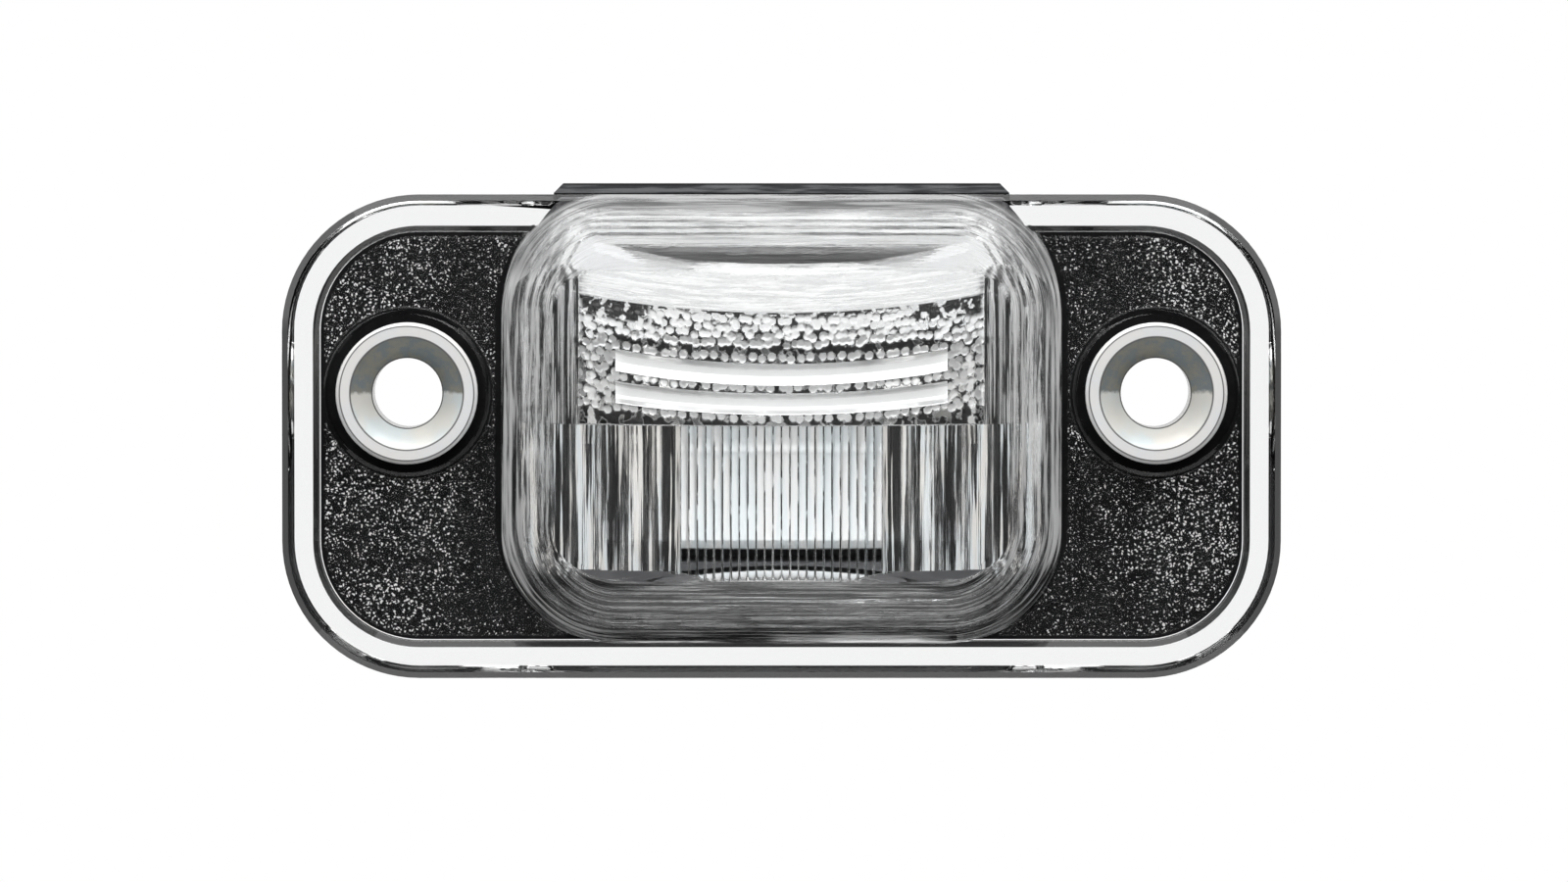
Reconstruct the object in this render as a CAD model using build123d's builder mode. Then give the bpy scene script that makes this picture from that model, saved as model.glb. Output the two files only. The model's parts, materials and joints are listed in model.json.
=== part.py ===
from build123d import *
import os
from math import asin, ceil, cos, degrees, radians, sin, sqrt, tan

# The lamp faces -Y, stands upright along Z and is mounted on the plane Y = 0.
# A depth is a distance from that plane towards the viewer. Lengths are in millimetres, angles in degrees.

# Flange of the lens
FLANGE_WIDTH = 80.0
FLANGE_HEIGHT = 38.75
FLANGE_CORNER_RADIUS = 11.0
FLANGE_THICKNESS = 2.5
RIM_WIDTH = 3.0
RIM_RAISE = 1.0
RIM_EDGE = 0.5
SCREW_END_DISTANCE = 10.0
SCREW_RISE = 3.45

# Dome of the lens
DOME_WIDTH = 45.0
DOME_HEIGHT = 35.8
DOME_PROJECTION = 11.5
DOME_DRAFT = 27.0
DOME_SIDE_DRAFT = 36.0
DOME_FRONT_RADIUS = 32.0
DOME_BOTTOM_RADIUS = 8.5
DOME_SHOULDER_RADIUS = 14.0
DOME_SHOULDER_DROP = 10.0
DOME_EDGE_ROUND = 1.2
LENS_WALL = 2.0
SMALLEST_CORNER = 0.4

# Optics inside the dome
TERRACE_STEP = 0.5
TERRACE_COUNT = 5
CROWN_WALL = 1.0
FINE_FLUTE_WIDTH = 0.65
FINE_FLUTE_DEPTH = 0.14
FINE_FLUTE_COUNT = 24
COARSE_FLUTE_WIDTH = 2.05
COARSE_FLUTE_DEPTH = 0.8
FLUTE_TOP = -2.3
BAR_WIDTH = 1.8
BAR_PROUD = 0.6
BAR_BEVEL = 0.4
BAR_PITCH = 2.35
BAR_COUNT = 2
BAR_HEIGHT = 1.85
BAR_TILT = 21.0
BAR_FAN = 4.0
BAR_END_GAP = 1.1
FLUTES_BELOW_BARS = 3

# Screw bushes and the collars round them
BUSH_HEAD_RADIUS = 5.65
BUSH_HEAD_THICKNESS = 2.3
BUSH_SLEEVE_RADIUS = 4.0
BUSH_BORE_RADIUS = 2.8
BUSH_SINK_RADIUS = 4.55
BUSH_PROUD = 0.3
BUSH_EDGE = 0.25
BUSH_CLEARANCE = 0.05
COLLAR_WIDTH = 1.0
COLLAR_RAISE = 0.8
COLLAR_EDGE = 0.35

# Gasket
GASKET_THICKNESS = 2.5
GASKET_INSET = 3.0
TONGUE_RISE = 0.85
TONGUE_CHAMFER = 0.75
GASKET_CLEARANCE = 0.2

# Bulb carrier
CARRIER_WALL = 1.5
CARRIER_FLOOR = 1.5
CARRIER_LIP = 1.2
CARRIER_LIP_THICKNESS = 1.2
CARRIER_COLLAR = 1.6
CARRIER_BOX_DEPTH = 7.5
TRAY_HEIGHT = 20.5
CARRIER_CORNER_RADIUS = 3.0
CARRIER_CLEARANCE = 0.15
CARRIER_EDGE = 0.8
CARRIER_RIB_WIDTH = 1.2
CARRIER_RIB_RAISE = 0.8

# Bulb
BULB_LENGTH = 31.0
BULB_RADIUS = 5.0
BULB_GLASS_LENGTH = 16.0
BULB_GLASS_WALL = 0.6
BULB_NECK_RADIUS = 3.4
BULB_NECK_LENGTH = 1.6
BULB_CAP_RADIUS = 4.25
BULB_CAP_BARREL = 2.6
BULB_TIP_RADIUS = 1.6
BULB_TIP_LENGTH = 0.5
BULB_AXIS_HEIGHT = 0.0
BULB_AXIS_DEPTH = 2.5
BULB_CLEARANCE = 0.05
FILAMENT_LENGTH = 5.0
FILAMENT_RADIUS = 0.45
LEAD_RADIUS = 0.2

# Contacts and their rivets
STRIP_THICKNESS = 0.8
STRIP_WIDTH = 8.0
STRIP_BEND = 0.5
STRIP_REACH = 5.9
STRIP_GRIP = 1.1
FOOT_LENGTH = 6.4
BLADE_WIDTH = 6.3
BLADE_LENGTH = 8.0
BLADE_POINT = 1.2
CONTACT_CLEARANCE = 0.1
RIVET_SHANK_RADIUS = 1.1
RIVET_HEAD_RADIUS = 1.9
RIVET_HEAD_HEIGHT = 0.5

# Reflector
REFLECTOR_THICKNESS = 0.6
REFLECTOR_GAP = 1.2
REFLECTOR_LEAN = 35.0
REFLECTOR_CLEARANCE = 0.1
REFLECTOR_LIFT = 1.4
APRON_CLEARANCE = 0.3
APRON_OVERHANG = 1.6

# Places worked out from the sizes above
flange_middle = -SCREW_RISE
flange_top = flange_middle + FLANGE_HEIGHT / 2
flange_back = GASKET_THICKNESS
flange_front = flange_back + FLANGE_THICKNESS
dome_top = flange_top
dome_bottom = dome_top - DOME_HEIGHT
dome_crown = flange_front + DOME_PROJECTION
front_axis_depth = dome_crown - DOME_FRONT_RADIUS
wall_inset = LENS_WALL / cos(radians(DOME_DRAFT))
side_wall_inset = LENS_WALL / cos(radians(DOME_SIDE_DRAFT))
inner_crown = dome_crown - LENS_WALL
inner_front_radius = DOME_FRONT_RADIUS - LENS_WALL
screw_x = FLANGE_WIDTH / 2 - SCREW_END_DISTANCE
bush_front = flange_front + COLLAR_RAISE + BUSH_PROUD
bush_seat = bush_front - BUSH_HEAD_THICKNESS
collar_radius = BUSH_HEAD_RADIUS + BUSH_CLEARANCE + COLLAR_WIDTH
carrier_front = flange_back + CARRIER_LIP_THICKNESS + CARRIER_COLLAR
carrier_back = -CARRIER_BOX_DEPTH
tray_floor = carrier_back + CARRIER_FLOOR
cap_end = BULB_LENGTH / 2
cap_start = BULB_GLASS_LENGTH / 2
leaf_x = cap_end - STRIP_GRIP
tray_half_width = leaf_x + STRIP_THICKNESS + 2 * STRIP_GRIP
trough_radius = BULB_RADIUS + REFLECTOR_GAP
tray_top = BULB_AXIS_HEIGHT + trough_radius + REFLECTOR_THICKNESS + REFLECTOR_CLEARANCE
tray_bottom = tray_top - TRAY_HEIGHT
foot_end = leaf_x + STRIP_THICKNESS - FOOT_LENGTH
rivet_x = (leaf_x + foot_end + STRIP_THICKNESS) / 2
reflector_half_width = leaf_x - STRIP_GRIP
shoulder_z = dome_top - DOME_SHOULDER_DROP
shoulder_reach = sqrt(DOME_SHOULDER_RADIUS**2 - DOME_SHOULDER_DROP**2)
tongue_half_width = DOME_WIDTH / 2 - DOME_SHOULDER_RADIUS + shoulder_reach
fine_half_width = FINE_FLUTE_WIDTH * FINE_FLUTE_COUNT / 2
field_half_width = fine_half_width + FLUTES_BELOW_BARS * COARSE_FLUTE_WIDTH
bar_half_length = field_half_width - BAR_END_GAP
bulb_plane = Plane(origin=(0, -BULB_AXIS_DEPTH, BULB_AXIS_HEIGHT), x_dir=(1, 0, 0), z_dir=(0, -1, 0))
bulb_axis = Axis((0, -BULB_AXIS_DEPTH, BULB_AXIS_HEIGHT), (1, 0, 0))
sides = {"left": -1, "right": 1}

os.makedirs("parts", exist_ok=True)


def at_depth(depth):
    """The plane at that depth, parallel to the mounting face, with X to the right and Z up."""
    return Plane.XZ.offset(depth)


def keep(name, part):
    """Label a finished piece and write it to its own file."""
    part.label = name
    export_step(part, f"parts/{name}.step")


def dome_section(inset, side_inset, depth):
    """The dome's outline at that depth, drawn in by inset above and below and by side_inset beside."""
    half_width = DOME_WIDTH / 2 - side_inset
    top = dome_top - inset
    bottom = dome_bottom + inset
    corner = max(DOME_BOTTOM_RADIUS - inset, SMALLEST_CORNER)
    shoulder = DOME_SHOULDER_RADIUS - inset
    shoulder_x = half_width - shoulder
    shoulder_turn = asin((top - shoulder_z) / shoulder)
    with BuildSketch(at_depth(depth)) as section:
        with BuildLine():
            Line((0, bottom), (half_width - corner, bottom))
            CenterArc((half_width - corner, bottom + corner), corner, -90, 90)
            Line((half_width, bottom + corner), (half_width, shoulder_z))
            CenterArc((shoulder_x, shoulder_z), shoulder, 0, degrees(shoulder_turn))
            Line((shoulder_x + shoulder * cos(shoulder_turn), top), (0, top))
            mirror(about=Plane.YZ)
        make_face()
    return section.sketch


def mouth_section(clearance, depth):
    """The outline of the dome's mouth as a face at that depth, drawn in by a clearance."""
    return dome_section(wall_inset + clearance, side_wall_inset + clearance, depth)


def front_point(x):
    """The point of the dome's inner front at x, in the horizontal plane."""
    return (x, -front_axis_depth - sqrt(inner_front_radius**2 - x**2))


def flutes(first, last, count, depth):
    """A row of round flutes on the inner front from one x to another, bulging into the dome."""
    width = (last - first) / count
    for index in range(count):
        start = front_point(first + index * width)
        end = front_point(first + (index + 1) * width)
        SagittaArc(start, end, depth)


# Outside of the dome: drafted walls closed by a front that is curved about a vertical axis
draft_slope = tan(radians(DOME_DRAFT))
side_slope = tan(radians(DOME_SIDE_DRAFT))
with BuildPart() as dome_form:
    base = dome_section(0, 0, flange_front)
    far_end = dome_section(DOME_PROJECTION * draft_slope, DOME_PROJECTION * side_slope, dome_crown)
    loft([base, far_end], ruled=True)
    with Locations((0, -front_axis_depth, 0)):
        Cylinder(DOME_FRONT_RADIUS, 4 * DOME_HEIGHT, mode=Mode.INTERSECT)
    top_wall = dome_form.faces().sort_by(Axis.Z)[-1]
    top_sides = top_wall.edges().filter_by(Axis.X, reverse=True).sort_by(Axis.X)[::2]
    front_face = dome_form.faces().filter_by(GeomType.CYLINDER).sort_by(SortBy.AREA)[-1]
    fillet([*top_sides, *front_face.edges()], DOME_EDGE_ROUND)

# Inside of the front: flutes below, and above them a plain field
coarse_count = ceil((DOME_WIDTH / 2 - wall_inset - fine_half_width) / COARSE_FLUTE_WIDTH)
flutes_end = fine_half_width + coarse_count * COARSE_FLUTE_WIDTH
with BuildPart() as optic_front:
    with BuildSketch(Plane.XY.offset(dome_bottom)):
        with BuildLine():
            flutes(-flutes_end, -fine_half_width, coarse_count, COARSE_FLUTE_DEPTH)
            flutes(-fine_half_width, fine_half_width, FINE_FLUTE_COUNT, FINE_FLUTE_DEPTH)
            flutes(fine_half_width, flutes_end, coarse_count, COARSE_FLUTE_DEPTH)
            Polyline(front_point(-flutes_end), (-flutes_end, 0), (flutes_end, 0), front_point(flutes_end))
        make_face()
    extrude(amount=FLUTE_TOP - dome_bottom)
    with BuildSketch(Plane.XY.offset(FLUTE_TOP)):
        with BuildLine():
            ThreePointArc(front_point(-flutes_end), front_point(0), front_point(flutes_end))
            Polyline(front_point(-flutes_end), (-flutes_end, 0), (flutes_end, 0), front_point(flutes_end))
        make_face()
    extrude(amount=dome_top - FLUTE_TOP)

# Bevelled bars across the front above the flutes, each in its own tilted plane
with BuildPart() as bar_form:
    for index in range(BAR_COUNT):
        tilt = radians(BAR_TILT - index * BAR_FAN)
        sweep_radius = inner_front_radius * cos(tilt)
        crown = Vector(0, -inner_crown, BAR_HEIGHT - index * BAR_PITCH)
        backward = Vector(0, cos(tilt), sin(tilt))
        upward = Vector(0, -sin(tilt), cos(tilt))
        with BuildSketch(Plane(origin=crown, x_dir=backward, z_dir=(-1, 0, 0))):
            with BuildLine():
                Polyline(
                    (-BAR_PROUD, -BAR_WIDTH / 2),
                    (0, -BAR_WIDTH / 2),
                    (BAR_PROUD, -BAR_WIDTH / 2 + BAR_BEVEL),
                    (BAR_PROUD, BAR_WIDTH / 2 - BAR_BEVEL),
                    (0, BAR_WIDTH / 2),
                    (-BAR_PROUD, BAR_WIDTH / 2),
                    close=True,
                )
            make_face()
        revolve(axis=Axis(crown + backward * sweep_radius, upward))
    Box(2 * bar_half_length, 4 * DOME_FRONT_RADIUS, 4 * DOME_HEIGHT, mode=Mode.INTERSECT)

# Hollow of the dome: terraces that step in with the draft, then a room with a flat ceiling
terrace_depth = TERRACE_STEP / draft_slope
side_step = terrace_depth * side_slope
room_inset = (inner_crown - flange_front) * draft_slope + CROWN_WALL / cos(radians(DOME_DRAFT))
room_side_inset = side_wall_inset + TERRACE_COUNT * side_step
with BuildPart() as hollow_form:
    for index in range(TERRACE_COUNT):
        inset = wall_inset + index * TERRACE_STEP
        side_inset = side_wall_inset + index * side_step
        terrace = dome_section(inset, side_inset, flange_back)
        extrude(terrace, amount=FLANGE_THICKNESS + (index + 0.5) * terrace_depth)
    extrude(dome_section(room_inset, room_side_inset, flange_back), amount=dome_crown - flange_back)
    add(optic_front.part, mode=Mode.INTERSECT)
    add(bar_form.part, mode=Mode.SUBTRACT)

# Collars that stand round the bushes
with BuildPart() as collar_form:
    with BuildSketch(at_depth(flange_front)):
        with Locations((-screw_x, 0), (screw_x, 0)):
            Circle(collar_radius)
    extrude(amount=COLLAR_RAISE)
    chamfer(collar_form.faces().group_by(Axis.Y)[0].edges(), COLLAR_EDGE)

# Lens: flange with its rim and collars, the dome, the hollow and the seats behind
with BuildPart() as lens:
    with BuildSketch(at_depth(flange_back)):
        with Locations((0, flange_middle)):
            RectangleRounded(FLANGE_WIDTH, FLANGE_HEIGHT, FLANGE_CORNER_RADIUS)
    extrude(amount=FLANGE_THICKNESS + RIM_RAISE)
    with BuildSketch(at_depth(flange_front)):
        with Locations((0, flange_middle)):
            RectangleRounded(
                FLANGE_WIDTH - 2 * RIM_WIDTH,
                FLANGE_HEIGHT - 2 * RIM_WIDTH,
                FLANGE_CORNER_RADIUS - RIM_WIDTH,
            )
    extrude(amount=RIM_RAISE, mode=Mode.SUBTRACT)
    chamfer(lens.faces().sort_by(Axis.Y)[0].edges(), RIM_EDGE)
    add(collar_form.part)
    add(dome_form.part)
    with BuildSketch(at_depth(bush_seat)):
        with Locations((-screw_x, 0), (screw_x, 0)):
            Circle(BUSH_HEAD_RADIUS + BUSH_CLEARANCE)
    extrude(amount=BUSH_HEAD_THICKNESS, mode=Mode.SUBTRACT)
    with BuildSketch(at_depth(flange_back)):
        with Locations((-screw_x, 0), (screw_x, 0)):
            Circle(BUSH_SLEEVE_RADIUS + BUSH_CLEARANCE)
    extrude(amount=FLANGE_THICKNESS, mode=Mode.SUBTRACT)
    add(hollow_form.part, mode=Mode.SUBTRACT)
    seat = mouth_section(-CARRIER_LIP - CARRIER_CLEARANCE, flange_back)
    extrude(seat, amount=CARRIER_LIP_THICKNESS, mode=Mode.SUBTRACT)
keep("lens", lens.part)

# Screw bushes: a countersunk head in the lens and a sleeve down to the mounting face
for side, sign in sides.items():
    with BuildPart() as bush:
        with BuildSketch(at_depth(0)):
            with Locations((sign * screw_x, 0)):
                Circle(BUSH_SLEEVE_RADIUS)
        extrude(amount=bush_front)
        with BuildSketch(at_depth(bush_seat)):
            with Locations((sign * screw_x, 0)):
                Circle(BUSH_HEAD_RADIUS)
        extrude(amount=BUSH_HEAD_THICKNESS)
        chamfer(bush.faces().sort_by(Axis.Y)[0].edges(), BUSH_EDGE)
        with Locations(Plane(origin=(sign * screw_x, -bush_front, 0), z_dir=(0, -1, 0))):
            CounterSinkHole(BUSH_BORE_RADIUS, BUSH_SINK_RADIUS, counter_sink_angle=90)
    keep(f"screw_bush_{side}", bush.part)

# Gasket: follows the flange inside its rim, with a tongue under the top of the dome
box_half_width = tray_half_width + CARRIER_WALL
box_middle = (tray_top + tray_bottom) / 2
box_height = TRAY_HEIGHT + 2 * CARRIER_WALL
tongue_top = flange_top + TONGUE_RISE
with BuildPart() as gasket:
    with BuildSketch(at_depth(0)):
        with Locations((0, flange_middle)):
            RectangleRounded(
                FLANGE_WIDTH - 2 * GASKET_INSET,
                FLANGE_HEIGHT - 2 * GASKET_INSET,
                FLANGE_CORNER_RADIUS - GASKET_INSET,
            )
        with BuildLine():
            Polyline(
                (0, flange_middle),
                (tongue_half_width, flange_middle),
                (tongue_half_width, tongue_top - TONGUE_CHAMFER),
                (tongue_half_width - TONGUE_CHAMFER, tongue_top),
                (0, tongue_top),
            )
            mirror(about=Plane.YZ)
        make_face()
        with Locations((-screw_x, 0), (screw_x, 0)):
            Circle(BUSH_SLEEVE_RADIUS + GASKET_CLEARANCE, mode=Mode.SUBTRACT)
        with Locations((0, box_middle)):
            RectangleRounded(
                2 * (box_half_width + GASKET_CLEARANCE),
                box_height + 2 * GASKET_CLEARANCE,
                CARRIER_CORNER_RADIUS + GASKET_CLEARANCE,
                mode=Mode.SUBTRACT,
            )
    extrude(amount=GASKET_THICKNESS)
keep("mounting_gasket", gasket.part)

# Bulb carrier: a lip and collar in the lens, and a tray that reaches back through the gasket
slot_start = foot_end - CONTACT_CLEARANCE
slot_end = foot_end + STRIP_THICKNESS + STRIP_BEND
with BuildPart() as carrier:
    extrude(mouth_section(-CARRIER_LIP, flange_back), amount=CARRIER_LIP_THICKNESS)
    collar = mouth_section(CARRIER_CLEARANCE, flange_back + CARRIER_LIP_THICKNESS)
    extrude(collar, amount=CARRIER_COLLAR)
    with BuildSketch(at_depth(carrier_back)):
        with Locations((0, box_middle)):
            RectangleRounded(2 * box_half_width, box_height, CARRIER_CORNER_RADIUS)
    extrude(amount=flange_back - carrier_back)
    chamfer(carrier.faces().sort_by(Axis.Y)[-1].edges(), CARRIER_EDGE)
    with BuildSketch(at_depth(tray_floor)):
        with Locations((0, box_middle)):
            RectangleRounded(2 * tray_half_width, TRAY_HEIGHT, CARRIER_CORNER_RADIUS - CARRIER_WALL)
    extrude(amount=carrier_front - tray_floor, mode=Mode.SUBTRACT)
    with BuildSketch(at_depth(carrier_back)):
        for sign in sides.values():
            with Locations((sign * (slot_start + slot_end) / 2, BULB_AXIS_HEIGHT)):
                Rectangle(slot_end - slot_start, BLADE_WIDTH + 2 * CONTACT_CLEARANCE)
            with Locations((sign * rivet_x, BULB_AXIS_HEIGHT)):
                Circle(RIVET_SHANK_RADIUS + CONTACT_CLEARANCE)
    extrude(amount=CARRIER_FLOOR, mode=Mode.SUBTRACT)
    with BuildSketch(at_depth(carrier_back)):
        with Locations((0, box_middle)):
            Rectangle(CARRIER_RIB_WIDTH, box_height - 2 * CARRIER_CORNER_RADIUS)
    extrude(amount=-CARRIER_RIB_RAISE)
keep("bulb_carrier", carrier.part)

# Reflector: a sheet bent round the back of the bulb that leans forward below it, as wide as the tray there,
# with an apron above it that stands in front of the carrier's collar
apron_back = carrier_front + REFLECTOR_CLEARANCE
apron_front = apron_back + REFLECTOR_THICKNESS
lean = radians(REFLECTOR_LEAN)
lean_start = (trough_radius * cos(lean) - BULB_AXIS_DEPTH, BULB_AXIS_HEIGHT - trough_radius * sin(lean))
lean_low = tray_bottom + REFLECTOR_LIFT + REFLECTOR_THICKNESS * sin(lean)
lean_run = (lean_start[1] - lean_low) / cos(lean)
wing_top = BULB_AXIS_HEIGHT - STRIP_WIDTH / 2 - REFLECTOR_CLEARANCE
sheet_half_width = tray_half_width - REFLECTOR_CLEARANCE
with BuildPart() as reflector:
    with BuildSketch(Plane.YZ.offset(-sheet_half_width)):
        with BuildLine():
            trough_high = BULB_AXIS_HEIGHT + trough_radius
            Line((-apron_front, trough_high), (-BULB_AXIS_DEPTH, trough_high))
            CenterArc((-BULB_AXIS_DEPTH, BULB_AXIS_HEIGHT), trough_radius, 90, -90 - REFLECTOR_LEAN)
            Line(lean_start, (lean_start[0] - lean_run * sin(lean), lean_low))
            offset(amount=REFLECTOR_THICKNESS, side=Side.LEFT)
        make_face()
    extrude(amount=2 * sheet_half_width)
    with BuildSketch(at_depth(carrier_back)):
        with Locations((0, box_middle)):
            RectangleRounded(
                2 * sheet_half_width,
                TRAY_HEIGHT - 2 * REFLECTOR_CLEARANCE,
                CARRIER_CORNER_RADIUS - CARRIER_WALL - REFLECTOR_CLEARANCE,
            )
        for sign in sides.values():
            notch_middle = sign * (reflector_half_width + sheet_half_width) / 2
            with Locations((notch_middle, (wing_top + tray_top) / 2)):
                Rectangle(
                    sheet_half_width - reflector_half_width,
                    tray_top - wing_top,
                    mode=Mode.SUBTRACT,
                )
    extrude(amount=apron_front - carrier_back, mode=Mode.INTERSECT)
    with BuildSketch(at_depth(apron_back)):
        add(mouth_section(side_step + APRON_CLEARANCE, apron_back))
        with Locations((0, trough_high - APRON_OVERHANG)):
            Rectangle(DOME_WIDTH, DOME_HEIGHT, align=(Align.CENTER, Align.MIN), mode=Mode.INTERSECT)
    extrude(amount=REFLECTOR_THICKNESS)
keep("reflector", reflector.part)

# Contacts: a leaf that grips the bulb cap, a foot on the tray floor and a blade out of the back
cone_start = cap_start + BULB_CAP_BARREL
cone_end = cap_end - BULB_TIP_LENGTH
cone_slope = (BULB_CAP_RADIUS - BULB_TIP_RADIUS) / (cone_end - cone_start)
grip_radius = BULB_TIP_RADIUS + cone_slope * (cone_end - leaf_x) + BULB_CLEARANCE
blade_tip = carrier_back - BLADE_LENGTH
for side in sides:
    with BuildPart() as contact:
        with BuildSketch(Plane.XY.offset(BULB_AXIS_HEIGHT - STRIP_WIDTH / 2)):
            with BuildLine():
                FilletPolyline(
                    (leaf_x + STRIP_THICKNESS, -STRIP_REACH),
                    (leaf_x + STRIP_THICKNESS, -tray_floor),
                    (foot_end + STRIP_THICKNESS, -tray_floor),
                    (foot_end + STRIP_THICKNESS, -blade_tip),
                    radius=[STRIP_BEND + STRIP_THICKNESS, STRIP_BEND],
                )
                offset(amount=STRIP_THICKNESS, side=Side.LEFT)
            make_face()
        extrude(amount=STRIP_WIDTH)
        with BuildSketch(Plane.YZ.offset(leaf_x)):
            with Locations((-BULB_AXIS_DEPTH, BULB_AXIS_HEIGHT)):
                Circle(grip_radius)
        extrude(amount=STRIP_THICKNESS, mode=Mode.SUBTRACT)
        with BuildSketch(Plane.YZ.offset(foot_end)):
            for edge in (-1, 1):
                with BuildLine():
                    side_z = BULB_AXIS_HEIGHT + edge * STRIP_WIDTH / 2
                    blade_z = BULB_AXIS_HEIGHT + edge * BLADE_WIDTH / 2
                    Polyline(
                        (-tray_floor, side_z),
                        (-tray_floor, blade_z),
                        (-blade_tip - BLADE_POINT, blade_z),
                        (-blade_tip, blade_z - edge * BLADE_POINT),
                        (-blade_tip, side_z),
                        close=True,
                    )
                make_face()
        extrude(amount=STRIP_THICKNESS + STRIP_BEND, mode=Mode.SUBTRACT)
        with BuildSketch(at_depth(tray_floor)):
            with Locations((rivet_x, BULB_AXIS_HEIGHT)):
                Circle(RIVET_SHANK_RADIUS + CONTACT_CLEARANCE)
        extrude(amount=STRIP_THICKNESS, mode=Mode.SUBTRACT)
        if side == "left":
            mirror(about=Plane.YZ, mode=Mode.REPLACE)
    keep(f"contact_{side}", contact.part)

# Rivets through each foot and the tray floor
foot_front = tray_floor + STRIP_THICKNESS
for side, sign in sides.items():
    with BuildPart() as rivet:
        for depth, radius, length in (
            (carrier_back - RIVET_HEAD_HEIGHT, RIVET_HEAD_RADIUS, RIVET_HEAD_HEIGHT),
            (carrier_back, RIVET_SHANK_RADIUS, foot_front - carrier_back),
            (foot_front, RIVET_HEAD_RADIUS, RIVET_HEAD_HEIGHT),
        ):
            with BuildSketch(at_depth(depth)):
                with Locations((sign * rivet_x, BULB_AXIS_HEIGHT)):
                    Circle(radius)
            extrude(amount=length)
    keep(f"contact_rivet_{side}", rivet.part)

# Bulb glass: a tube with a neck at each end, closed round the leads
body_end = cap_start - (BULB_RADIUS - BULB_NECK_RADIUS)
neck_end = cap_start + BULB_NECK_LENGTH
room_end = cap_start - BULB_GLASS_WALL
with BuildPart() as bulb_glass:
    with BuildSketch(bulb_plane):
        with BuildLine():
            Polyline(
                (0, 0),
                (neck_end, 0),
                (neck_end, BULB_NECK_RADIUS),
                (cap_start, BULB_NECK_RADIUS),
                (body_end, BULB_RADIUS),
                (0, BULB_RADIUS),
            )
            mirror(about=Plane.YZ)
        make_face()
    revolve(axis=bulb_axis)
    with BuildSketch(bulb_plane):
        with BuildLine():
            Polyline(
                (0, 0),
                (room_end, 0),
                (room_end, BULB_NECK_RADIUS - BULB_GLASS_WALL),
                (body_end, BULB_RADIUS - BULB_GLASS_WALL),
                (0, BULB_RADIUS - BULB_GLASS_WALL),
            )
            mirror(about=Plane.YZ)
        make_face()
    revolve(axis=bulb_axis, mode=Mode.SUBTRACT)
    with Locations(bulb_plane):
        Cylinder(
            LEAD_RADIUS + BULB_CLEARANCE,
            2 * neck_end,
            rotation=(0, 90, 0),
            mode=Mode.SUBTRACT,
        )
keep("bulb_glass", bulb_glass.part)

# Bulb caps: cups on the necks of the glass that taper to the tips
cup_end = neck_end + BULB_CLEARANCE
cup_radius = BULB_NECK_RADIUS + BULB_CLEARANCE
for side, sign in sides.items():
    with BuildPart() as cap:
        with BuildSketch(bulb_plane):
            with BuildLine():
                Polyline(
                    (sign * cup_end, 0),
                    (sign * cup_end, cup_radius),
                    (sign * (cap_start + BULB_CLEARANCE), cup_radius),
                    (sign * (cap_start + BULB_CLEARANCE), BULB_CAP_RADIUS),
                    (sign * cone_start, BULB_CAP_RADIUS),
                    (sign * cone_end, BULB_TIP_RADIUS),
                    (sign * cap_end, BULB_TIP_RADIUS - BULB_TIP_LENGTH),
                    (sign * cap_end, 0),
                    close=True,
                )
            make_face()
        revolve(axis=bulb_axis)
    keep(f"bulb_cap_{side}", cap.part)

# Filament on the bulb's axis, and a lead from each end of it to its cap
filament_end = FILAMENT_LENGTH / 2
with BuildPart() as filament:
    with BuildSketch(Plane.YZ.offset(-filament_end)):
        with Locations((-BULB_AXIS_DEPTH, BULB_AXIS_HEIGHT)):
            Circle(FILAMENT_RADIUS)
    extrude(amount=FILAMENT_LENGTH)
keep("filament", filament.part)

for side, sign in sides.items():
    with BuildPart() as lead:
        with BuildSketch(Plane.YZ.offset(sign * filament_end)):
            with Locations((-BULB_AXIS_DEPTH, BULB_AXIS_HEIGHT)):
                Circle(LEAD_RADIUS)
        extrude(amount=sign * (cup_end - filament_end))
    keep(f"filament_lead_{side}", lead.part)
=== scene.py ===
import json
from math import copysign, cos, hypot, radians, sin, sqrt, tan
from random import Random
from types import SimpleNamespace

import bmesh
import bpy
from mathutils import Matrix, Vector


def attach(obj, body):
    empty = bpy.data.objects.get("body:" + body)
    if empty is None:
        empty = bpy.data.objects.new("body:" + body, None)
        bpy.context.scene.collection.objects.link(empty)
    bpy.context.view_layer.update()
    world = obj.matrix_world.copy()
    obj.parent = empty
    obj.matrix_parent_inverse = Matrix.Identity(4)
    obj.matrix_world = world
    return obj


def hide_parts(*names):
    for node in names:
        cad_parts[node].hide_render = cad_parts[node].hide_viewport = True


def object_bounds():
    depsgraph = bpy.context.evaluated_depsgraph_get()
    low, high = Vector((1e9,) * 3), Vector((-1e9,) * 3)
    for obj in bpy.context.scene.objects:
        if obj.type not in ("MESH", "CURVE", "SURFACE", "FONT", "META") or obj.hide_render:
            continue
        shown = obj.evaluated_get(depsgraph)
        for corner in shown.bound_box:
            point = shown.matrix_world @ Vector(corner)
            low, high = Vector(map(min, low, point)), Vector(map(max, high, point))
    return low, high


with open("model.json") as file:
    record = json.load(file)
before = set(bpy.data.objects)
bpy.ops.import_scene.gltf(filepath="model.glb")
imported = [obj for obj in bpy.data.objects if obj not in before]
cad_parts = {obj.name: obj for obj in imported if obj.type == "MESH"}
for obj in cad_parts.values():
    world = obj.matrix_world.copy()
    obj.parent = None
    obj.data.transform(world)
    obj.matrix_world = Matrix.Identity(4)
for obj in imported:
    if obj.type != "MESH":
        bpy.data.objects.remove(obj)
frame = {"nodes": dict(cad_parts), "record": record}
cad_low, cad_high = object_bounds()
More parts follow.
